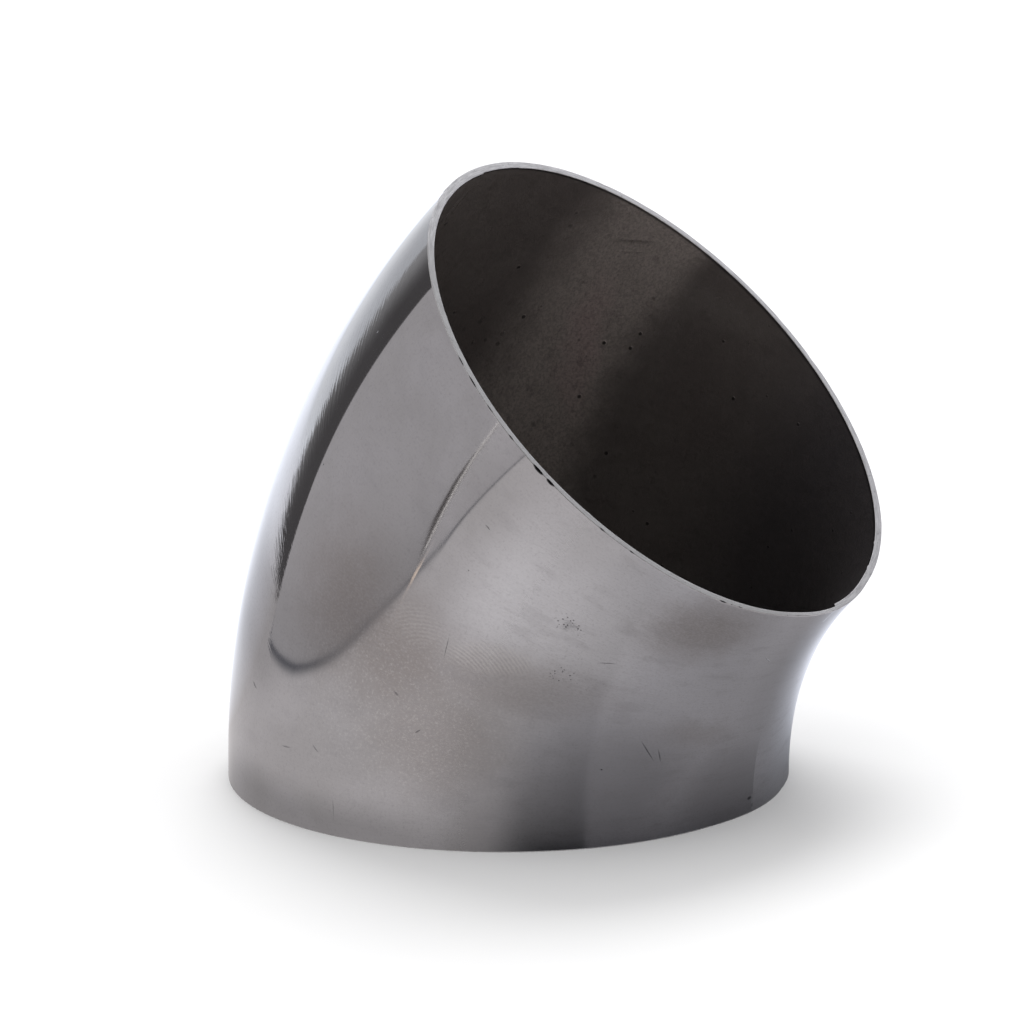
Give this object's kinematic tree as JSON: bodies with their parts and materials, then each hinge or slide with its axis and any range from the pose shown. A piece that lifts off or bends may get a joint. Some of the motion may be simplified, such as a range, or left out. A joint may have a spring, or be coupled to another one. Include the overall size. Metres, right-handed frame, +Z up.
{
  "type": "flue elbow",
  "caption": "Short 45 degree elbow in thin polished stainless tube, two pressed half shells seam welded together, with plain square-cut ends for butt welding.",
  "frame": {"origin": "centre of the lower end face, on the axis of the lower bore", "axes": "+Z up the lower bore, +X towards the throat, the way the tube bends; the bend plane is Y = 0"},
  "size_m": [0.0735, 0.0636, 0.0691],
  "materials": {
    "polished_stainless": "polished to near mirror outside, dull and tarnished in the bore",
    "ground_weld": "ground flush and polished outside, as welded at the root"
  },
  "bodies": {
    "root": {"front_half_shell": "polished_stainless", "rear_half_shell": "polished_stainless", "heel_seam_weld": "ground_weld", "throat_seam_weld": "ground_weld"}
  },
  "joints": []
}
